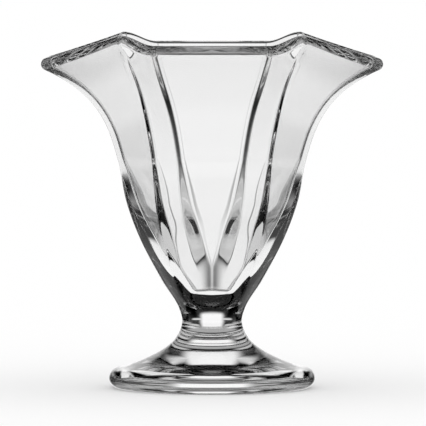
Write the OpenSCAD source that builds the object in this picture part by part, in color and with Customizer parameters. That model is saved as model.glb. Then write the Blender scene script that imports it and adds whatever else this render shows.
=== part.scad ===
// Flared parfait glass in clear pressed glass: a six-sided bowl, a waisted stem and a domed foot.
// Millimetres, Z up. The origin is the middle of the ring that the glass stands on.
// The front panel of the bowl faces -Y, and the two low tips of the rim point along X.

/* [Rim] */
// Distance from the axis to the outer edge of the rim at its four high corners
rim_r = 53.2; // [48:0.2:58]
// Rise from the flare to the rim at those corners
rim_rise = 17.2; // [14:0.1:20]
// Thickness of the rounded lip
lip_t = 4.6; // [3:0.1:5]
// Height of the part below the rim that bends at the tips and at the front and back
bend_span = 34.2; // [30:0.1:38]
// How much further out the two tips reach than the high corners
tip_reach = 5.9; // [3:0.1:9]
// How far the two tips droop below the high corners
tip_drop = 9.2; // [4:0.1:11]
// How much further out the front and back edges reach
dip_reach = 1.5; // [0:0.1:3]
// How far the front and back edges dip below the high corners
dip_drop = 3.8; // [1:0.1:5]

/* [Bowl] */
// Corner radius of the bowl just above the stem
root_r = 17.7; // [15:0.1:20]
// Rise from the stem to that radius
root_rise = 10; // [8:0.1:12]
// Corner radius at the belly
belly_r = 25.2; // [23:0.1:27]
// Rise from the root to the belly
belly_rise = 14.5; // [12:0.1:17]
// Corner radius at the shoulder
shoulder_r = 30.4; // [28.5:0.1:32]
// Rise from the belly to the shoulder
shoulder_rise = 14; // [12:0.1:17]
// Corner radius at the throat, where the bowl is steepest
throat_r = 33.3; // [32.5:0.1:35]
// Rise from the shoulder to the throat
throat_rise = 14.5; // [12:0.1:17]
// Corner radius where the flare begins
flare_r = 42.4; // [40:0.1:45]
// Rise from the throat to the flare
flare_rise = 24; // [20:0.1:28]
// Thickness of the bowl's wall at the throat
wall_t = 4.2; // [3:0.1:5]
// Width of the bevelled band that runs down each corner
band_w = 10; // [7:0.1:12]
// Width of that band at the rim
rim_band_w = 15; // [12:0.1:17]
// Width of the melted rounding where a panel meets a band
melt_w = 0.5; // [0.3:0.1:1.2]
// Rise from the stem to where the outer side is still round
round_rise = 6; // [0:0.1:10]
// Rise from there to where its panels are fully flat
fade_rise = 24; // [16:0.1:32]

/* [Cavity] */
// Thickness of the solid glass between the stem and the floor of the cavity
bottom_t = 9.5; // [7:0.1:12]
// Radius of the flat floor of the cavity
floor_r = 3.6; // [2.4:0.1:5]
// Radius of the rounding between that floor and the side
corner_r = 1.6; // [1:0.1:2.4]
// Corner radius low in the cavity
low_r = 9.3; // [8:0.1:11]
// Rise from the floor to that radius
low_rise = 8.5; // [7:0.1:10]
// Corner radius in the middle of the cavity
mid_r = 15.2; // [13:0.1:17]
// Rise from the low to the middle radius
mid_rise = 9.5; // [8:0.1:11]
// Corner radius high in the cavity
high_r = 20.5; // [18:0.1:22]
// Rise from the middle to the high radius
high_rise = 7.5; // [6:0.1:9]

/* [Stem] */
// Radius of the stem at the seam with the bowl
stem_top_r = 11.6; // [10.9:0.1:13]
// Rise from the waist to that seam
stem_top_rise = 4; // [3:0.1:5]
// Radius of the waist
waist_r = 10.6; // [9:0.1:10.8]
// Rise from the foot to the waist
waist_rise = 4; // [3:0.1:5]
// Radius of the stem at the seam with the foot
stem_base_r = 11.6; // [10.9:0.1:13]

/* [Foot] */
// Height of the foot, up to its seam with the stem
foot_h = 20; // [18.5:0.1:22]
// Radius of the foot
foot_r = 36.6; // [33:0.2:40]
// Radius of the rounded edge of the foot
edge_r = 3.6; // [2.8:0.1:4]
// Radius of the dome just inside its edge
brow_r = 28.5; // [27:0.1:30]
// Height of the dome at that radius
brow_h = 8.5; // [7.9:0.1:9.5]
// Radius of the dome halfway up its slope
flank_r = 21.8; // [20:0.1:24]
// Height of the dome at that radius
flank_h = 11.3; // [10:0.1:13]
// Radius of the dome below the stem
neck_r = 14.9; // [14:0.1:17]
// Height of the dome at that radius
neck_h = 15.6; // [14:0.1:17]
// Width of the flat ring that the glass stands on
ring_w = 3.5; // [2.5:0.1:5]
// Depth of the shallow recess inside that ring
recess_h = 2; // [1:0.1:3]
// How far the side of the recess leans in
recess_run = 2.5; // [1.5:0.1:4]

/* [Hidden] */
clear_glass = [0.86, 0.9, 0.89, 0.45];

// Number of panels round the bowl, and half the angle that one panel and one corner share
panels = 6;
sector = 180 / panels;
// Widest that a band may be, as a share of the width at which the panels vanish
band_share = 0.97;
// Shares of a half panel and of a half band at which a section has its points
panel_shares = [0, 0.5, 0.93];
band_shares = [0, 0.14, 0.57];
// Rings of points in each stretch of the outline, round the lip and round the floor's corner
stretch_steps = 4;
lip_steps = 12;
corner_steps = 3;
// Points on the rounded edge of the foot, and along each stretch of a turned outline
edge_steps = 12;
turn_steps = 6;
// Arcs in degrees: a quarter turn, the floor's corner, and the foot's edge above its middle
quarter_arc = 90;
corner_arc = 62;
edge_arc = 70;

// Heights of the seams and of the stations above them
stem_top_h = foot_h + waist_rise + stem_top_rise;
root_h = stem_top_h + root_rise;
belly_h = root_h + belly_rise;
shoulder_h = belly_h + shoulder_rise;
throat_h = shoulder_h + throat_rise;
flare_h = throat_h + flare_rise;
rim_h = flare_h + rim_rise;
floor_h = stem_top_h + bottom_t;
low_h = floor_h + low_rise;
mid_h = low_h + mid_rise;
edge_top_h = edge_r * (1 + sin(edge_arc));
// Step at which the slope of the outline is measured, as a share of the rim's height
probe_share = 0.0003;
probe = rim_h * probe_share;
// One overrun for all cuts
cut = 1;

// The outline from the edge of the foot to the rim, as corner radii and heights
outline = [
    [foot_r - edge_r * (1 - cos(edge_arc)), edge_top_h],
    [brow_r, brow_h],
    [flank_r, flank_h],
    [neck_r, neck_h],
    [stem_base_r, foot_h],
    [waist_r, foot_h + waist_rise],
    [stem_top_r, stem_top_h],
    [root_r, root_h],
    [belly_r, belly_h],
    [shoulder_r, shoulder_h],
    [throat_r, throat_h],
    [flare_r, flare_h],
    [rim_r, rim_h]
];

// A smooth curve of radius over height through a list of stations
function chord(s, i) = (s[i + 1][0] - s[i][0]) / rise(s, i);
function rise(s, i) = s[i + 1][1] - s[i][1];
function lean(s, i) =
    i == 0 ? chord(s, 0) :
    i == len(s) - 1 ? 1.5 * chord(s, i - 1) - 0.5 * lean(s, i - 1) :
    (chord(s, i - 1) * rise(s, i) + chord(s, i) * rise(s, i - 1)) / (rise(s, i - 1) + rise(s, i));
function stretch(s, z, i = 0) = i == len(s) - 2 || z <= s[i + 1][1] ? i : stretch(s, z, i + 1);
function curve_r(s, z) =
    let (i = stretch(s, z), h = rise(s, i), t = (z - s[i][1]) / h)
    s[i][0] * (1 + 2 * t) * (1 - t) * (1 - t) + h * lean(s, i) * t * (1 - t) * (1 - t)
    + s[i + 1][0] * t * t * (3 - 2 * t) - h * lean(s, i + 1) * t * t * (1 - t);

// Heights at equal steps through the stretches of the outline between two of its heights
function heights(low, high, steps) = [
    for (i = [0 : len(outline) - 2]) if (outline[i][1] >= low && outline[i + 1][1] <= high)
        for (k = [0 : steps - 1]) outline[i][1] + rise(outline, i) * k / steps,
    high
];

// A share that runs smoothly from 0 to 1 between two values
function clamp(x) = max(0, min(1, x));
function ease(x) = clamp(x) * clamp(x) * (3 - 2 * clamp(x));

// Half the angle that a panel takes up between two bevelled bands of a given width
function band_at(z) = band_w + (rim_band_w - band_w) * pow(max(0, z - flare_h) / (rim_h - flare_h), 2);
function panel_half(r, band) = sector - atan(min(band / 2, band_share * r * tan(sector)) / r);

// The panelled section, as a share of the corner radius: the nearer of a panel and a band, with a
// melted edge between them. The angle is measured from the nearest panel.
function melted(a, b, soft) = min(a, b) - soft / 6 * pow(max(0, 1 - abs(a - b) / soft), 3);
function section(a, edge, soft) =
    melted(cos(edge) / cos(sector - edge) / cos(a), 1 / cos(sector - a), soft);

// Angles of a section's points round the axis, so that points lie on its edges
function half_angles(edge) = concat(
    [for (s = panel_shares) edge * s],
    [for (s = band_shares) edge + (sector - edge) * s]
);
function around(edge) =
    let (half = half_angles(edge), n = len(half))
    [for (k = [0 : panels - 1]) each concat(
        [for (i = [0 : n - 1]) sector + 2 * sector * k + half[i]],
        [for (i = [n : -1 : 1]) sector + 2 * sector * (k + 1) - (i == n ? sector : half[i])]
    )];
function from_panel(th) = let (m = (th + sector) % (2 * sector)) min(m, 2 * sector - m);

// How far a place on the rim takes part in the bend of a tip, and in the dip of the front and back
rim_edge = panel_half(rim_r, rim_band_w);
peak_share = cos(sector + rim_edge) / cos(sector - rim_edge);
dip_share = sin(rim_edge) / cos(sector - rim_edge);
function tip_weight(x) = clamp((abs(x) - peak_share) / (1 - peak_share));
function dip_weight(x) = 1 - ease((abs(x) - dip_share) / (peak_share - dip_share));

// A place on the outer side of the bowl in the plane of the axis, bent as its weights say
function bend_at(z) = pow(max(0, 1 - (rim_h - z) / bend_span), 2);
function outer_at(z, tip, dip) =
    let (b = bend_at(z))
    [curve_r(outline, z), z] + b * [tip * tip_reach + dip * dip_reach, -tip * tip_drop - dip * dip_drop];
function along(z, tip, dip) =
    let (d = outer_at(z, tip, dip) - outer_at(z - probe, tip, dip))
    d / norm(d);
function inward(z, tip, dip) = let (d = along(z, tip, dip)) [-d[1], d[0]];
function wall_at(z) = lip_t + (wall_t - lip_t) * clamp((rim_h - z) / (rim_h - throat_h));
function inner_at(z, tip, dip) = outer_at(z, tip, dip) + wall_at(z) * inward(z, tip, dip);
function lip_at(turn, tip, dip) =
    outer_at(rim_h, tip, dip) + lip_t / 2 * (
        (1 - cos(turn)) * inward(rim_h, tip, dip) + sin(turn) * along(rim_h, tip, dip)
    );

// The lower part of the cavity, from the corner of its floor up to the throat
cavity = [
    [floor_r + corner_r * sin(corner_arc), floor_h + corner_r * (1 - cos(corner_arc))],
    [low_r, low_h],
    [mid_r, mid_h],
    [high_r, mid_h + high_rise],
    inner_at(throat_h, 0, 0)
];

// Share of how far the outer side is panelled at a height
function outer_faceted(z) = ease((z - stem_top_h - round_rise) / fade_rise);

// Rings of points: the outer side, the lip, the inner wall, the cavity below it and its floor
function spot(th, u, p) = [u * p[0] * cos(th), u * p[0] * sin(th), p[1]];
function shape(th, edge, r, faceted) =
    let (u = section(from_panel(th), edge, melt_w / r))
    1 + (u - 1) * faceted;
function outer_ring(z) =
    let (r = curve_r(outline, z), edge = panel_half(r, band_at(z)))
    [for (th = around(edge))
        let (u = shape(th, edge, r, outer_faceted(z)), x = u * cos(th))
        spot(th, u, outer_at(z, tip_weight(x), dip_weight(x)))];
function lip_ring(turn) = [
    for (th = around(rim_edge))
        let (u = shape(th, rim_edge, rim_r, 1), x = u * cos(th))
        spot(th, u, lip_at(turn, tip_weight(x), dip_weight(x)))
];
function wall_ring(z) =
    let (r = inner_at(z, 0, 0)[0], edge = panel_half(r, band_at(z)))
    [for (th = around(edge))
        let (u = shape(th, edge, r, 1), x = u * cos(th))
        spot(th, u, inner_at(z, tip_weight(x), dip_weight(x)))];
function inside_ring(r, z) =
    let (edge = panel_half(r, band_w))
    [for (th = around(edge)) spot(th, shape(th, edge, r, 1), [r, z])];
function floor_ring(turn) =
    inside_ring(floor_r + corner_r * sin(turn), floor_h + corner_r * (1 - cos(turn)));

wall_heights = heights(throat_h, rim_h, 2 * stretch_steps);
bowl_rings = concat(
    [for (z = heights(stem_top_h, rim_h, stretch_steps)) outer_ring(z)],
    [for (k = [1 : lip_steps - 1]) lip_ring(2 * quarter_arc * k / lip_steps)],
    [for (k = [len(wall_heights) - 1 : -1 : 1]) wall_ring(wall_heights[k])],
    [for (i = [len(cavity) - 2 : -1 : 0]) for (k = [stretch_steps : -1 : 1])
        let (z = cavity[i][1] + rise(cavity, i) * k / stretch_steps)
        inside_ring(curve_r(cavity, z), z)],
    [for (k = [corner_steps : -1 : 0]) floor_ring(corner_arc * k / corner_steps)]
);

// A closed skin over rings of equally many points
module skin(rings) {
    n = len(rings[0]);
    last = (len(rings) - 1) * n;
    polyhedron(
        points = [for (ring = rings) each ring],
        faces = concat(
            [[for (j = [0 : n - 1]) j]],
            [for (k = [0 : len(rings) - 2]) for (j = [0 : n - 1]) each
                let (a = k * n + j, b = k * n + (j + 1) % n)
                [[a, a + n, b + n], [a, b + n, b]]],
            [[for (j = [n - 1 : -1 : 0]) last + j]]
        )
    );
}

// The six-sided flared bowl with its solid, tapering bottom
module bowl() {
    color(clear_glass) skin(bowl_rings);
}

// The short waisted stem, turned from its stretch of the outline
module stem() {
    color(clear_glass) rotate_extrude() polygon(concat(
        [[0, foot_h]],
        [for (z = heights(foot_h, stem_top_h, turn_steps)) [curve_r(outline, z), z]],
        [[0, stem_top_h]]
    ));
}

// The domed foot with its rounded edge and a shallow recess underneath
module foot() {
    ring_in_r = foot_r - edge_r - ring_w;
    color(clear_glass) rotate_extrude() difference() {
        polygon(concat(
            [[0, 0]],
            [for (k = [0 : edge_steps - 1])
                let (a = -quarter_arc + (quarter_arc + edge_arc) * k / edge_steps)
                [foot_r - edge_r + edge_r * cos(a), edge_r + edge_r * sin(a)]],
            [for (z = heights(edge_top_h, foot_h, turn_steps)) [curve_r(outline, z), z]],
            [[0, foot_h]]
        ));
        polygon([
            [0, -cut], [ring_in_r, -cut], [ring_in_r, 0], [ring_in_r - recess_run, recess_h], [0, recess_h]
        ]);
    }
}

bowl();
stem();
foot();
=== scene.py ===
# %% [markdown]
# A parfait glass in clear pressed glass
#
# The glass has three pieces that were joined while they were hot: a flared bowl with six panels, a short
# solid stem and a domed foot. The imported model gives their places, and this lesson makes the surfaces that
# the eye sees: smooth lips, crisp panel edges and a material that bends light as real glass does. We load
# the imported model first, because the heights of the seams and the radius of the foot are read from it.
# Nothing that we make may stand outside it.

# %% Load the imported model
import math

import bmesh
import bpy
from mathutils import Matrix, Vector


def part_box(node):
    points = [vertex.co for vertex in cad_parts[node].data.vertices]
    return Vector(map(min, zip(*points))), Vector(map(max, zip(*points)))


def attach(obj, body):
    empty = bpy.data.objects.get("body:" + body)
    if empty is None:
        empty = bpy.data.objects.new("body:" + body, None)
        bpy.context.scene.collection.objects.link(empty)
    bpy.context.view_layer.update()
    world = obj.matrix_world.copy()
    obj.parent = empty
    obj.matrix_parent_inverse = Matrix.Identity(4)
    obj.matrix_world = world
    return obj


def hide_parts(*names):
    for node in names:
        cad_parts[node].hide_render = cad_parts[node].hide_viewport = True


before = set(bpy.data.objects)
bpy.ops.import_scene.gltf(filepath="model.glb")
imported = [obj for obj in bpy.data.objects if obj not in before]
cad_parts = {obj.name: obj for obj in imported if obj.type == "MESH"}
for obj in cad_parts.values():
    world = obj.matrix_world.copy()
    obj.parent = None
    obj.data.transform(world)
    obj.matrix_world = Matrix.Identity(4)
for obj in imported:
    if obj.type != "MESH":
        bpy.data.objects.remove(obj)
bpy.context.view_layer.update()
MM = 0.001

# %% [markdown]
# One outline for the whole glass
#
# A glass like this is drawn by its outline: one smooth line from the edge of the foot, in at the waist and
# out again to the rim. It could be traced point by point, but a few stations are easier to change and leave
# no bumps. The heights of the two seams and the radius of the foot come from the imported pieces, and the
# rest are sizes in millimetres, each a radius and a height.

# %% Stations of the outline
STEM_LOW, STEM_HIGH = (corner[2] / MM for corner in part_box("stem"))
FOOT_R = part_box("foot")[1][0] / MM
EDGE_R = 3.6
EDGE_ARC = math.radians(70)
WAIST_H = 24.0
THROAT_H = 81.0
FLARE_H = 105.0
RIM_R, RIM_H = 53.2, 122.19
OUTLINE = [
    (FOOT_R - EDGE_R * (1 - math.cos(EDGE_ARC)), EDGE_R * (1 + math.sin(EDGE_ARC))),
    (28.5, 8.5),
    (21.8, 11.3),
    (14.9, 15.6),
    (11.6, STEM_LOW),
    (10.6, WAIST_H),
    (11.6, STEM_HIGH),
    (17.7, 38.0),
    (25.2, 52.5),
    (30.4, 66.5),
    (33.3, THROAT_H),
    (42.4, FLARE_H),
    (RIM_R, RIM_H),
]
print("stations", len(OUTLINE), "from height", round(OUTLINE[0][1], 2), "to", OUTLINE[-1][1], "mm")

# %% [markdown]
# A smooth curve through the stations
#
# Molten glass leaves no corners in its outline, so the line between two stations has to leave each of them
# in the direction in which the line before came in. A Blender curve with automatic handles would do that
# too, but the wall of the bowl also needs the slope of the line at any height. So the curve is worked out
# here, as a cubic in each span whose slope at a station is an average of the spans on both sides.


# %% Curve
def chord(line, i):
    """Change of radius for each millimetre of height between two stations."""
    return (line[i + 1][0] - line[i][0]) / (line[i + 1][1] - line[i][1])


def lean(line, i):
    """Slope of the smooth curve at a station."""
    if i == 0:
        return chord(line, 0)
    if i == len(line) - 1:
        return 1.5 * chord(line, i - 1) - 0.5 * lean(line, i - 1)
    below = line[i][1] - line[i - 1][1]
    above = line[i + 1][1] - line[i][1]
    return (chord(line, i - 1) * above + chord(line, i) * below) / (below + above)


def radius_and_slope(line, z):
    """Radius of the curve at a height, and how fast it grows there."""
    i = 0
    while i < len(line) - 2 and z > line[i + 1][1]:
        i += 1
    (r0, z0), (r1, z1) = line[i], line[i + 1]
    h = z1 - z0
    t = (z - z0) / h
    d0, d1 = h * lean(line, i), h * lean(line, i + 1)
    radius = (r0 * (1 + 2 * t) * (1 - t) ** 2 + d0 * t * (1 - t) ** 2
              + r1 * t * t * (3 - 2 * t) - d1 * t * t * (1 - t))
    slope = ((r1 - r0) * 6 * t * (1 - t) + d0 * (1 - t) * (1 - 3 * t) - d1 * t * (2 - 3 * t)) / h
    return radius, slope


print("radius and slope at the rim", [round(v, 3) for v in radius_and_slope(OUTLINE, RIM_H)])

# %% [markdown]
# One function for nodes, one for colours
#
# Every node tree below, for shapes and for materials, is built with the same small function. It adds a
# node, sets its options, and fills its inputs in order with values or links. Colours are written as the
# hex values that a paint program shows, and a second function turns them into the linear values that
# Blender works with.


# %% Helpers for node trees and colours
def add(tree, kind, *values, **options):
    """Add a node with its options, fill its inputs in order and return its first output, if it has one."""
    made = tree.nodes.new(kind)
    for name, value in options.items():
        setattr(made, name, value)
    for socket, value in zip(made.inputs, values):
        if isinstance(value, bpy.types.NodeSocket):
            tree.links.new(value, socket)
        elif value is not None:
            socket.default_value = value
    return made.outputs[0] if made.outputs else None


def linear(hex_colour):
    """Turn an sRGB hex colour into linear red, green, blue and full alpha."""
    shares = [int(hex_colour[i:i + 2], 16) / 255 for i in (1, 3, 5)]
    return [s / 12.92 if s <= 0.04045 else ((s + 0.055) / 1.055) ** 2.4 for s in shares] + [1.0]


print("mid grey in linear light", [round(v, 3) for v in linear("#808080")])

# %% [markdown]
# Pressed soda-lime glass
#
# Table glass is soda-lime glass, with an IOR of about 1.52. It is pressed in a polished iron mould and its
# surface is then melted smooth in a flame, so it is clear and has no roughness, with only a slow waviness
# where the skin of the glass chilled first. It could be a plain glass shader, but then what is seen through
# it would be too straight. A noise with waves of 14 mm, as a bump of about a hundredth of a millimetre,
# gives that waviness. The colour is a hair below white, for the little light that the glass keeps.

# %% Glass material
GLASS_IOR = 1.52
GLASS_TINT = linear("#fdfdfd")
WAVE_MM = 14.0
WAVE_HEIGHT_MM = 0.012
WAVE_OCTAVES, OCTAVE_SHARE = 1.0, 0.4

glass = bpy.data.materials.new("pressed_soda_lime_glass")
glass.use_nodes = True
glass_tree = glass.node_tree
glass_tree.nodes.clear()
place = glass_tree.nodes.new("ShaderNodeTexCoord").outputs["Object"]
wave = add(glass_tree, "ShaderNodeTexNoise", place, None, 1 / (WAVE_MM * MM), WAVE_OCTAVES, OCTAVE_SHARE)
skin = add(glass_tree, "ShaderNodeBump", 1.0, WAVE_HEIGHT_MM * MM)
glass_tree.links.new(wave, skin.node.inputs["Height"])
shader = glass_tree.nodes.new("ShaderNodeBsdfPrincipled")
shader.inputs["Base Color"].default_value = GLASS_TINT
shader.inputs["Roughness"].default_value = 0.0
shader.inputs["IOR"].default_value = GLASS_IOR
shader.inputs["Transmission Weight"].default_value = 1.0
glass_tree.links.new(skin, shader.inputs["Normal"])
add(glass_tree, "ShaderNodeOutputMaterial", shader.outputs[0])
print("material", glass.name, "with", len(glass_tree.nodes), "nodes")

# %% [markdown]
# The fused seams
#
# Where the stem meets the bowl and the foot, hot glass ran into hot glass and no surface is left. Our pieces
# are closed shapes, so each has a face there, and light would bend and reflect at it. The pieces could be
# joined into one mesh, but they are separate parts of the model. So the seam faces get a material that lets
# light straight through, as the solid glass does.

# %% Seam material
seam = bpy.data.materials.new("fused_glass_seam")
seam.use_nodes = True
seam_tree = seam.node_tree
seam_tree.nodes.clear()
add(seam_tree, "ShaderNodeOutputMaterial", add(seam_tree, "ShaderNodeBsdfTransparent", linear("#ffffff")))
print("material", seam.name)

# %% [markdown]
# Closed shapes from rings of points
#
# All three pieces are rings of points, one above the other, with faces between them. Blender's Screw
# modifier could turn a profile too, but rings of our own give closed poles, and they let the end faces be
# flat, sharp at their edge and of the seam's material. The wall is shaded smooth and the flat ends are not.


# %% Skin for rings
def closed_rings(name, rings, seam_ends):
    """Skin rings of points from end to end, close both ends with fans and mark the seam ends."""
    mesh = bpy.data.meshes.new(name)
    shape = bmesh.new()
    loops = [[shape.verts.new(p) for p in ring] for ring in rings]
    count = len(loops[0])
    for lower, upper in zip(loops, loops[1:]):
        for j in range(count):
            k = (j + 1) % count
            shape.faces.new((lower[j], lower[k], upper[k], upper[j]))
    for loop, flip, is_seam in ((loops[0], True, seam_ends[0]), (loops[-1], False, seam_ends[1])):
        centre = shape.verts.new(sum((v.co for v in loop), Vector()) / count)
        for j in range(count):
            a, b = loop[j], loop[(j + 1) % count]
            cap = shape.faces.new((b, a, centre) if flip else (a, b, centre))
            cap.material_index = 1 if is_seam else 0
    for face in shape.faces:
        face.smooth = len(face.verts) == 4
    for edge in shape.edges:
        edge.smooth = len({face.smooth for face in edge.link_faces}) == 1
    shape.to_mesh(mesh)
    shape.free()
    mesh.materials.append(glass)
    mesh.materials.append(seam)
    return mesh


def turned(profile, count):
    """Rings of points, in metres, for a profile of radii and heights in millimetres."""
    angles = [2 * math.pi * j / count for j in range(count)]
    return [[(r * MM * math.cos(a), r * MM * math.sin(a), z * MM) for a in angles] for r, z in profile]


def steps(low, high, count):
    """Equal steps from one value to another, both ends included."""
    return [low + (high - low) * k / count for k in range(count + 1)]


print("four steps from seam to seam", [round(z, 2) for z in steps(STEM_LOW, STEM_HIGH, 4)], "mm")

# %% [markdown]
# The stem
#
# The stem is a short solid waist, drawn out of the hot glass, with nothing on it but its curve. It is turned
# from the outline between the two seams, and both of its ends are seams.

# %% Stem
ROUND_POINTS = 192
STEM_STEPS = 40
stem_profile = [(radius_and_slope(OUTLINE, z)[0], z) for z in steps(STEM_LOW, STEM_HIGH, STEM_STEPS)]
stem_mesh = closed_rings("stem", turned(stem_profile, ROUND_POINTS), (True, True))
narrowest = min(r for r, z in stem_profile)
print("stem faces", len(stem_mesh.polygons), "narrowest radius", round(narrowest, 2), "mm")

# %% [markdown]
# The foot
#
# The foot is a solid dome that stands on a narrow ring, with a shallow recess inside the ring so that the
# glass does not rock. Its edge is a thick round bead. The profile starts in the recess, goes out under the
# ring, round the edge and up the dome to the seam. The edge is an arc of its own, because an outline given
# by heights cannot turn under itself.

# %% Foot
RING_IN_R = 29.5
RECESS_R, RECESS_H = 27.0, 2.0
EDGE_STEPS, DOME_STEPS = 32, 80
edge_profile = [(FOOT_R - EDGE_R + EDGE_R * math.cos(a), EDGE_R + EDGE_R * math.sin(a))
                for a in steps(-math.pi / 2, EDGE_ARC, EDGE_STEPS)]
dome_heights = steps(edge_profile[-1][1], STEM_LOW, DOME_STEPS)[1:]
dome_profile = [(radius_and_slope(OUTLINE, z)[0], z) for z in dome_heights]
foot_profile = [(RECESS_R, RECESS_H), (RING_IN_R, 0.0)] + edge_profile + dome_profile
foot_mesh = closed_rings("foot", turned(foot_profile, ROUND_POINTS), (False, True))
ring = (RING_IN_R, round(FOOT_R - EDGE_R, 2))
print("foot faces", len(foot_mesh.polygons), "stands on a ring of radii", ring, "mm")

# %% [markdown]
# The bowl, first as a round blank
#
# The bowl follows a rule: its round outline is pressed into six flat panels with a bevelled band down each
# corner, and its rim is bent down at two tips. So it is made as the factory makes it. First comes a round
# blank, turned like the stem. Then a Geometry Nodes tree is the press, with the panel and rim sizes as named
# inputs, so that any of them can be changed later.
#
# The blank has its rows in order: up the outside, over the round lip, down the inside of the wall and down
# the cavity to its floor. A row of the wall keeps the point of the outline that it belongs to, its inset
# square to that line and its overhang along it, because the press will need them. The lip gets many steps,
# because it is a strong lens and every flat on it would show as a speckle.


# %% Rows of the wall
LIP_T = 4.6
WALL_T = 4.2
OUTSIDE_STEPS, LIP_STEPS, INSIDE_STEPS = 110, 60, 60
ROUND_BELOW, PANELS_ABOVE = 34.0, 58.0


def ease(low, high, value):
    """Share that runs smoothly from 0 at one value to 1 at another."""
    t = min(1.0, max(0.0, (value - low) / (high - low)))
    return t * t * (3 - 2 * t)


def wall_row(z, inset, overhang):
    """A row of the wall: where it lies on the outer line, and how far in and along from there."""
    out_r, slope = radius_and_slope(OUTLINE, z)
    size = math.hypot(slope, 1)
    return {"r": out_r - inset / size + overhang * slope / size,
            "z": z + inset * slope / size + overhang / size, "out_r": out_r, "out_z": z,
            "slope": slope, "inset": inset, "overhang": overhang,
            "faceted": 1.0 if inset else ease(ROUND_BELOW, PANELS_ABOVE, z)}


outside = [wall_row(z, 0.0, 0.0) for z in steps(STEM_HIGH, RIM_H, OUTSIDE_STEPS)]
lip = [wall_row(RIM_H, LIP_T / 2 * (1 - math.cos(a)), LIP_T / 2 * math.sin(a))
       for a in steps(0, math.pi, LIP_STEPS)[1:-1]]
inside = [wall_row(z, WALL_T + (LIP_T - WALL_T) * (z - THROAT_H) / (RIM_H - THROAT_H), 0.0)
          for z in steps(RIM_H, THROAT_H, INSIDE_STEPS)]
print("rows outside, on the lip and inside", len(outside), len(lip), len(inside))

# %% [markdown]
# The cavity
#
# Below the throat the inside no longer follows the outside: the plunger of the press narrows to a small
# round-cornered floor and leaves a thick solid bottom. It has an outline of its own, through a few stations,
# and a small arc into the floor. The panels of the cavity stay crisp all the way down.

# %% Rows of the cavity
CAVITY_H = 37.5
FLOOR_R = 3.6
CORNER_R = 1.6
CORNER_ARC = math.radians(62)
CAVITY_STEPS, CORNER_STEPS = 60, 10


def cavity_row(r, z):
    """A row low inside the bowl, where the rim's bend does not reach."""
    return {"r": r, "z": z, "out_r": r, "out_z": z,
            "slope": 0.0, "inset": 0.0, "overhang": 0.0, "faceted": 1.0}


floor_corner = [(FLOOR_R + CORNER_R * math.sin(a), CAVITY_H + CORNER_R * (1 - math.cos(a)))
                for a in steps(CORNER_ARC, 0, CORNER_STEPS)]
throat = (inside[-1]["r"], inside[-1]["z"])
CAVITY = [floor_corner[0], (9.3, 46.0), (15.2, 55.5), (20.5, 63.0), throat]
cavity_heights = steps(throat[1], floor_corner[0][1], CAVITY_STEPS)[1:]
cavity = [cavity_row(radius_and_slope(CAVITY, z)[0], z) for z in cavity_heights]
cavity += [cavity_row(r, z) for r, z in floor_corner[1:]]
rows = outside + lip + inside + cavity
print("rows of the blank", len(rows), "floor of the cavity at", rows[-1]["z"], "mm")

# %% [markdown]
# Notes on the points of the blank
#
# A Geometry Nodes tree sees one point at a time and cannot ask which row it came from. So each point carries
# its row's numbers as attributes, which are values stored by name on the mesh. One more attribute says how
# far round the point is, counted in half panels, and one on the faces marks the seam.

# %% Blank of the bowl
HALF_PANELS = 12
POINTS_PER_HALF = 24
around = HALF_PANELS * POINTS_PER_HALF
blank_mesh = closed_rings("bowl", turned([(row["r"], row["z"]) for row in rows], around), (True, False))
poles = [dict(rows[0], r=0.0), dict(rows[-1], r=0.0)]
POINT_NOTES = {"r": MM, "out_r": MM, "out_z": MM, "slope": 1.0, "inset": MM, "overhang": MM, "faceted": 1.0}
for name, unit in POINT_NOTES.items():
    values = [row[name] * unit for row in rows for _ in range(around)] + [pole[name] * unit for pole in poles]
    blank_mesh.attributes.new(name, "FLOAT", "POINT").data.foreach_set("value", values)
turns = [j / POINTS_PER_HALF for _ in rows for j in range(around)] + [0.0, 0.0]
blank_mesh.attributes.new("turn", "FLOAT", "POINT").data.foreach_set("value", turns)
seam_marks = [face.material_index == 1 for face in blank_mesh.polygons]
blank_mesh.attributes.new("seam_face", "BOOLEAN", "FACE").data.foreach_set("value", seam_marks)
blank = bpy.data.objects.new("bowl", blank_mesh)
bpy.context.scene.collection.objects.link(blank)
print("blank of", len(blank_mesh.vertices), "points,", sum(seam_marks), "seam faces")

# %% [markdown]
# The press and its inputs
#
# The tree has a named input for each size that a mould maker would ask for: the width of the bands, the
# roundness of the panel edges, and how far out and down the rim is bent at its tips and in the dips of the
# front and back. The wall bends only above the bend height.

# %% Inputs of the press
PRESS_SIZES = {
    "Band Width": 10.0 * MM,
    "Rim Band Width": 15.0 * MM,
    "Edge Radius": 0.5 * MM,
    "Flare Height": FLARE_H * MM,
    "Bend Height": 88.0 * MM,
    "Rim Height": RIM_H * MM,
    "Rim Radius": RIM_R * MM,
    "Tip Reach": 5.88 * MM,
    "Tip Drop": 9.2 * MM,
    "Dip Reach": 1.5 * MM,
    "Dip Drop": 3.8 * MM,
}
press = bpy.data.node_groups.new("press_panels", "GeometryNodeTree")
press.interface.new_socket("Blank", in_out="INPUT", socket_type="NodeSocketGeometry")
for name, value in PRESS_SIZES.items():
    press.interface.new_socket(name, in_out="INPUT", socket_type="NodeSocketFloat").default_value = value
press.interface.new_socket("Bowl", in_out="OUTPUT", socket_type="NodeSocketGeometry")
given = press.nodes.new("NodeGroupInput").outputs
note = {name: add(press, "GeometryNodeInputNamedAttribute", name) for name in [*POINT_NOTES, "turn"]}
print("press inputs", len(given) - 1)

# %% [markdown]
# Panels and bands
#
# Seen from above, each sixth of the bowl is a panel with half a band at either side. The band keeps its
# width in millimetres and only opens near the rim, so its share of the circle grows where the bowl is
# narrow. At the very bottom of the cavity it is held just short of the whole circle, so that a trace of the
# panel is left.

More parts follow.
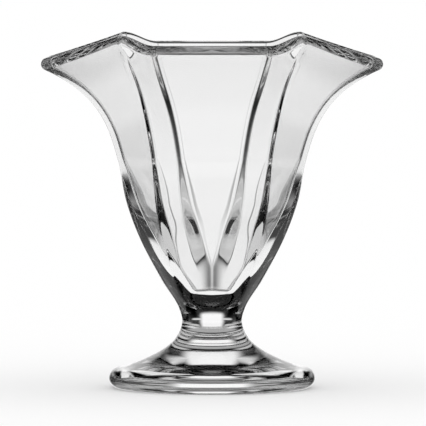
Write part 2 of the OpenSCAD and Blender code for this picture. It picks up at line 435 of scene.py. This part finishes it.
# %% Half angle of a band
MATH, RANGE = "ShaderNodeMath", "ShaderNodeMapRange"
SIXTH_HALF = math.radians(30)
POLE_R = 0.01 * MM
WIDEST_BAND = 0.97 * math.tan(SIXTH_HALF)

radius = add(press, MATH, note["r"], POLE_R, operation="MAXIMUM")
flare = add(press, RANGE, note["out_z"], given["Flare Height"], given["Rim Height"], 0.0, 1.0)
opening = add(press, MATH, flare, 2.0, operation="POWER")
band = add(press, RANGE, opening, 0.0, 1.0, given["Band Width"], given["Rim Band Width"])
half_band = add(press, MATH, band, 0.5, operation="MULTIPLY")
widest = add(press, MATH, radius, WIDEST_BAND, operation="MULTIPLY")
half_band = add(press, MATH, half_band, widest, operation="MINIMUM")
band_angle = add(press, MATH, half_band, radius, operation="ARCTAN2")
edge_angle = add(press, MATH, SIXTH_HALF, band_angle, operation="SUBTRACT")
print("press nodes for the bands", len(press.nodes))

# %% [markdown]
# Where each point goes round the bowl
#
# If the points stayed evenly spaced, the edge of a panel would fall between two of them and look jagged. So
# every point is told how far it is from the middle of its panel, and the spacing is squeezed so that points
# crowd at the edge: half of them lie on the panel and half on the band.

# %% Angle of each point
share = add(press, MATH, note["turn"], 1.0, operation="PINGPONG")
on_panel = add(press, RANGE, share, 0.0, 0.5, 0.0, 1.0)
on_band = add(press, RANGE, share, 0.5, 1.0, 0.0, 1.0)
panel_rest = add(press, MATH, 2.0, on_panel, operation="SUBTRACT")
panel_part = add(press, MATH, on_panel, panel_rest, operation="MULTIPLY")
band_part = add(press, MATH, on_band, 2.0, operation="POWER")
past_edge = add(press, MATH, band_angle, band_part, operation="MULTIPLY")
angle = add(press, MATH, edge_angle, panel_part, past_edge, operation="MULTIPLY_ADD")
half_turn = add(press, MATH, note["turn"], 0.5, operation="MULTIPLY")
panel_no = add(press, MATH, half_turn, operation="ROUND")
past_middle = add(press, MATH, panel_no, -2.0, note["turn"], operation="MULTIPLY_ADD")
side = add(press, MATH, past_middle, operation="SIGN")
panel_middle = add(press, MATH, panel_no, 2 * SIXTH_HALF, SIXTH_HALF, operation="MULTIPLY_ADD")
around_angle = add(press, MATH, side, angle, panel_middle, operation="MULTIPLY_ADD")
cos_around = add(press, MATH, around_angle, operation="COSINE")
sin_around = add(press, MATH, around_angle, operation="SINE")
print("press nodes so far", len(press.nodes))

# %% [markdown]
# How far out each point goes
#
# The section is whichever is nearer the axis, the flat of the panel or the flat of the band. A plain minimum
# would give a knife edge, and pressed glass never has one, so a smooth minimum melts the two together. The
# lowest part of the bowl is round, like the stem, and the panels fade in above it.

# %% Section of the bowl
panel_at = add(press, MATH, add(press, MATH, edge_angle, operation="COSINE"),
               add(press, MATH, band_angle, operation="COSINE"), operation="DIVIDE")
to_panel = add(press, MATH, panel_at, add(press, MATH, angle, operation="COSINE"), operation="DIVIDE")
from_band = add(press, MATH, SIXTH_HALF, angle, operation="SUBTRACT")
to_band = add(press, MATH, 1.0, add(press, MATH, from_band, operation="COSINE"), operation="DIVIDE")
melt = add(press, MATH, given["Edge Radius"], radius, operation="DIVIDE")
section = add(press, MATH, to_panel, to_band, melt, operation="SMOOTH_MIN")
reach = add(press, RANGE, note["faceted"], 0.0, 1.0, 1.0, section)
print("press nodes so far", len(press.nodes))

# %% [markdown]
# Tips and dips of the rim
#
# The rim is highest at four of its corners. From there it falls to a low tip at the left and the right, and
# it sags a little between them at the front and the back. Both are told by how far a point lies to the side:
# the tip's share grows from the peak outwards, and the dip's share grows from the peak inwards until the
# edge of the front panel, so the middle of the rim is straight.

# %% Shares of tip and dip
across = add(press, MATH, add(press, MATH, reach, cos_around, operation="MULTIPLY"), operation="ABSOLUTE")
half_rim_band = add(press, MATH, given["Rim Band Width"], 0.5, operation="MULTIPLY")
rim_band = add(press, MATH, half_rim_band, given["Rim Radius"], operation="ARCTAN2")
rim_edge = add(press, MATH, SIXTH_HALF, rim_band, operation="SUBTRACT")
rim_corner = add(press, MATH, rim_band, operation="COSINE")
beyond_edge = add(press, MATH, SIXTH_HALF, rim_edge, operation="ADD")
peak = add(press, MATH, add(press, MATH, beyond_edge, operation="COSINE"), rim_corner, operation="DIVIDE")
trough = add(press, MATH, add(press, MATH, rim_edge, operation="SINE"), rim_corner, operation="DIVIDE")
tip = add(press, RANGE, across, peak, 1.0, 0.0, 1.0)
dip = add(press, RANGE, across, trough, peak, 1.0, 0.0, interpolation_type="SMOOTHSTEP")
print("press nodes so far", len(press.nodes))

# %% [markdown]
# Bending the wall
#
# Hot glass bends without getting thinner. So only the outer line is moved, more and more towards the rim,
# and the new slope of the line is worked out from how fast the move grows. The lip and the inside are then
# laid square to the bent line, with the inset and overhang that their points carry.

# %% Bent line
bend_share = add(press, RANGE, note["out_z"], given["Bend Height"], given["Rim Height"], 0.0, 1.0)
bend = add(press, MATH, bend_share, 2.0, operation="POWER")
bend_span = add(press, MATH, given["Rim Height"], given["Bend Height"], operation="SUBTRACT")
bend_growth = add(press, MATH, bend_share, 2.0, operation="MULTIPLY")
bend_rate = add(press, MATH, bend_growth, bend_span, operation="DIVIDE")
dip_out = add(press, MATH, dip, given["Dip Reach"], operation="MULTIPLY")
dip_down = add(press, MATH, dip, given["Dip Drop"], operation="MULTIPLY")
move_out = add(press, MATH, tip, given["Tip Reach"], dip_out, operation="MULTIPLY_ADD")
move_down = add(press, MATH, tip, given["Tip Drop"], dip_down, operation="MULTIPLY_ADD")
move_up = add(press, MATH, move_down, -1.0, operation="MULTIPLY")
line_r = add(press, MATH, bend, move_out, note["out_r"], operation="MULTIPLY_ADD")
line_z = add(press, MATH, bend, move_up, note["out_z"], operation="MULTIPLY_ADD")
run_r = add(press, MATH, bend_rate, move_out, note["slope"], operation="MULTIPLY_ADD")
run_z = add(press, MATH, bend_rate, move_up, 1.0, operation="MULTIPLY_ADD")
run_r_squared = add(press, MATH, run_r, run_r, operation="MULTIPLY")
run_squared = add(press, MATH, run_z, run_z, run_r_squared, operation="MULTIPLY_ADD")
run = add(press, MATH, run_squared, operation="SQRT")
along_r = add(press, MATH, run_r, run, operation="DIVIDE")
along_z = add(press, MATH, run_z, run, operation="DIVIDE")
print("press nodes so far", len(press.nodes))

# %% [markdown]
# Moving the points
#
# The last nodes put the pieces together: out along the wall, in by the thickness, times the section, round
# by the angle. The two poles stay on the axis. Realize Instances makes sure that nothing but plain mesh
# comes out, and two Set Material nodes give the skin and the seam.

# %% Pressed bowl
edge_r = add(press, MATH, note["overhang"], along_r, line_r, operation="MULTIPLY_ADD")
edge_z = add(press, MATH, note["overhang"], along_z, line_z, operation="MULTIPLY_ADD")
wall_in = add(press, MATH, note["inset"], along_z, operation="MULTIPLY")
wall_r = add(press, MATH, edge_r, wall_in, operation="SUBTRACT")
wall_z = add(press, MATH, note["inset"], along_r, edge_z, operation="MULTIPLY_ADD")
off_pole = add(press, MATH, note["r"], POLE_R, operation="GREATER_THAN")
pressed_r = add(press, MATH, wall_r, reach, operation="MULTIPLY")
final_r = add(press, MATH, pressed_r, off_pole, operation="MULTIPLY")
final_x = add(press, MATH, final_r, cos_around, operation="MULTIPLY")
final_y = add(press, MATH, final_r, sin_around, operation="MULTIPLY")
final = add(press, "ShaderNodeCombineXYZ", final_x, final_y, wall_z)
pressed = add(press, "GeometryNodeSetPosition", given["Blank"], None, final)
real = add(press, "GeometryNodeRealizeInstances", pressed)
in_glass = add(press, "GeometryNodeSetMaterial", real, None, glass)
seam_face = press.nodes.new("GeometryNodeInputNamedAttribute")
seam_face.data_type = "BOOLEAN"
seam_face.inputs["Name"].default_value = "seam_face"
done = add(press, "GeometryNodeSetMaterial", in_glass, seam_face.outputs["Attribute"], seam)
add(press, "NodeGroupOutput", done)
print("press nodes in all", len(press.nodes))

# %% [markdown]
# Pressing the bowl
#
# The tree works as a modifier on the blank. Its inputs are set by the identifier of each socket, because two
# sockets may share a name. Then the finished shape is copied to a plain mesh, and the blank with its
# modifier is thrown away, so that the bowl no longer depends on the tree.

# %% Press the blank
modifier = blank.modifiers.new("press", "NODES")
modifier.node_group = press
for item in press.interface.items_tree:
    if item.in_out == "INPUT" and item.name in PRESS_SIZES:
        modifier[item.identifier] = PRESS_SIZES[item.name]
bpy.context.view_layer.update()
evaluated = blank.evaluated_get(bpy.context.evaluated_depsgraph_get())
bowl_mesh = bpy.data.meshes.new_from_object(evaluated)
blank.modifiers.clear()
bpy.data.objects.remove(blank)
bowl_mesh.name = "bowl"
print("bowl reaches", [round(max(v.co[i] for v in bowl_mesh.vertices) / MM, 2) for i in range(3)], "mm")

# %% [markdown]
# Standing in for the imported pieces
#
# The imported model has the same three pieces as plain solids, for handling and for physics. Each of ours
# rides on the same body as the solid and hides it, and carries the glass and seam materials made above.
# Nothing on a glass moves, so there is one body for all.

# %% Pieces on their body
for node, mesh in (("bowl", bowl_mesh), ("stem", stem_mesh), ("foot", foot_mesh)):
    piece = bpy.data.objects.new(f"{node}_glass", mesh)
    bpy.context.scene.collection.objects.link(piece)
    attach(piece, "root")
    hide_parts(node)
    print("piece", piece.name, "with", len(mesh.polygons), "faces")

# %% [markdown]
# White paper under the glass
#
# The photograph was taken on white, with hardly any edge between table and background. A sheet of matte
# white paper does the same: it takes the soft shadow of the glass, and a little glow of its own brings it up
# to the white of the background. Rays that have been through the glass pass it by, because they look for
# the studio that comes next.

# %% Floor
FLOOR_HALF = 30.0
PAPER_WHITE = linear("#e7e7e7")
PAPER_GLOW = 0.2
floor_mesh = bpy.data.meshes.new("floor")
floor_corners = [(x * FLOOR_HALF, y * FLOOR_HALF, 0.0) for x, y in ((-1, -1), (1, -1), (1, 1), (-1, 1))]
floor_mesh.from_pydata(floor_corners, [], [(0, 1, 2, 3)])
floor = bpy.data.objects.new("floor", floor_mesh)
bpy.context.scene.collection.objects.link(floor)
paper = bpy.data.materials.new("white_paper")
paper.use_nodes = True
paper_tree = paper.node_tree
paper_tree.nodes.clear()
matte = add(paper_tree, "ShaderNodeBsdfDiffuse", PAPER_WHITE, 0.0)
glow = add(paper_tree, "ShaderNodeEmission", linear("#ffffff"), PAPER_GLOW)
add(paper_tree, "ShaderNodeOutputMaterial", add(paper_tree, "ShaderNodeAddShader", matte, glow))
floor_mesh.materials.append(paper)
floor.visible_transmission = False
floor.visible_glossy = False
print("floor", floor.dimensions.x, "m wide")

# %% [markdown]
# A studio for glass
#
# Clear glass has no colour of its own, so it is drawn by what stands round it. A photographer lights it from
# behind with a white backdrop and keeps the sides dark: the backdrop shows through the middle of the glass,
# and the dark sides draw its edges as black lines. Lamps could do this, but they would show as shapes in the
# glass and make noise, so the world does it. The camera and the paper see plain white, and only rays that
# have been through the glass, or mirrored by it, see the studio.
#
# Each panel of the studio is a soft-edged patch of the sky, given by angles as a photographer would pace them
# out: the azimuth from straight behind the glass and the height above its horizon. The list gives, in
# degrees, each panel's middle and half width, where its side has faded out and the heights over which it
# fades in and out, and last its brightness.
#
# The backdrop is upright, with a wider part low in the sky that lights the foot. Two quarter panels with dim
# tops stand beside it, for the side panels of the bowl. The walls at the sides and the room behind the
# camera are pale up to the horizon, which hardly shows from the front but keeps the glass clear in the other
# views, and the table below is grey.

# %% Studio
STUDIO = {
    "backdrop": (0, 11, 20, (-36, -26), (20, 28), 1.0),
    "low sky": (0, 27, 35, (1, 9), (9, 17), 0.8),
    "quarter panels": (42, 18, 28, (-46, -34), (-22, -15), 0.65),
    "quarter tops": (45, 7, 14, (-40, -30), (-13, -8), 0.3),
    "side walls": (180, 101, 111, (-36, -10), (-4, 2), 0.8),
    "room": (180, 55, 75, (-62, -46), (-4, 2), 0.8),
    "table": (0, 190, 200, (-110, -100), (-56, -42), 0.42),
}
world = bpy.data.worlds.new("studio")
bpy.context.scene.world = world
world.use_nodes = True
sky = world.node_tree
sky.nodes.clear()
direction = sky.nodes.new("ShaderNodeTexCoord").outputs["Generated"]
facing = add(sky, "ShaderNodeSeparateXYZ", direction).node.outputs
turn_from_back = add(sky, MATH, facing["X"], facing["Y"], operation="ARCTAN2")
azimuth = add(sky, MATH, turn_from_back, operation="ABSOLUTE")
height = add(sky, MATH, facing["Z"], operation="ARCSINE")
level = 0.0
for name, (middle, half_width, faded, rise, fall, brightness) in STUDIO.items():
    beside = add(sky, MATH, azimuth, math.radians(middle), operation="SUBTRACT")
    off_middle = add(sky, MATH, beside, operation="ABSOLUTE")
    lit = brightness
    for at, ends, shares in ((off_middle, (half_width, faded), (1.0, 0.0)),
                             (height, rise, (0.0, 1.0)), (height, fall, (1.0, 0.0))):
        fade = add(sky, RANGE, at, *map(math.radians, ends), *shares, interpolation_type="SMOOTHSTEP")
        lit = add(sky, MATH, fade, lit, operation="MULTIPLY")
    level = add(sky, MATH, lit, level, operation="MAXIMUM")
ray = sky.nodes.new("ShaderNodeLightPath").outputs
by_glass = add(sky, MATH, ray["Is Glossy Ray"], ray["Is Transmission Ray"], operation="MAXIMUM")
strength = add(sky, "ShaderNodeMix", by_glass, None, 1.0, level)
add(sky, "ShaderNodeOutputWorld", add(sky, "ShaderNodeBackground", linear("#ffffff"), strength))
print("studio of", len(STUDIO), "panels in", len(sky.nodes), "nodes")

# %% [markdown]
# Camera
#
# The rim of the glass is seen a little from above and its sides hardly converge, so the photograph was taken
# from far off with a long lens. The lens is worked out from the width of the frame at the axis of the glass.
# Light crosses many walls on its way through, so the number of bounces goes up, or the glass turns black.

# %% Camera and light paths
CAMERA_DISTANCE = 2.2
CAMERA_HEIGHT = 0.162
AIM = Vector((0.00035, 0.0, 0.0621))
FRAME_WIDTH = 0.151
FAR_CLIP = 200.0
WALL_BOUNCES = 32
camera_data = bpy.data.cameras.new("camera")
camera = bpy.data.objects.new("camera", camera_data)
bpy.context.scene.collection.objects.link(camera)
camera.location = (AIM.x, -CAMERA_DISTANCE, CAMERA_HEIGHT)
camera.rotation_euler = (AIM - camera.location).to_track_quat("-Z", "Y").to_euler()
camera_data.lens = camera_data.sensor_width * CAMERA_DISTANCE / FRAME_WIDTH
camera_data.clip_end = FAR_CLIP
scene = bpy.context.scene
scene.camera = camera
scene.view_settings.view_transform = "Standard"
scene.cycles.max_bounces = WALL_BOUNCES
scene.cycles.transmission_bounces = WALL_BOUNCES
scene.cycles.glossy_bounces = WALL_BOUNCES // 2
print("lens", round(camera_data.lens, 1), "mm")
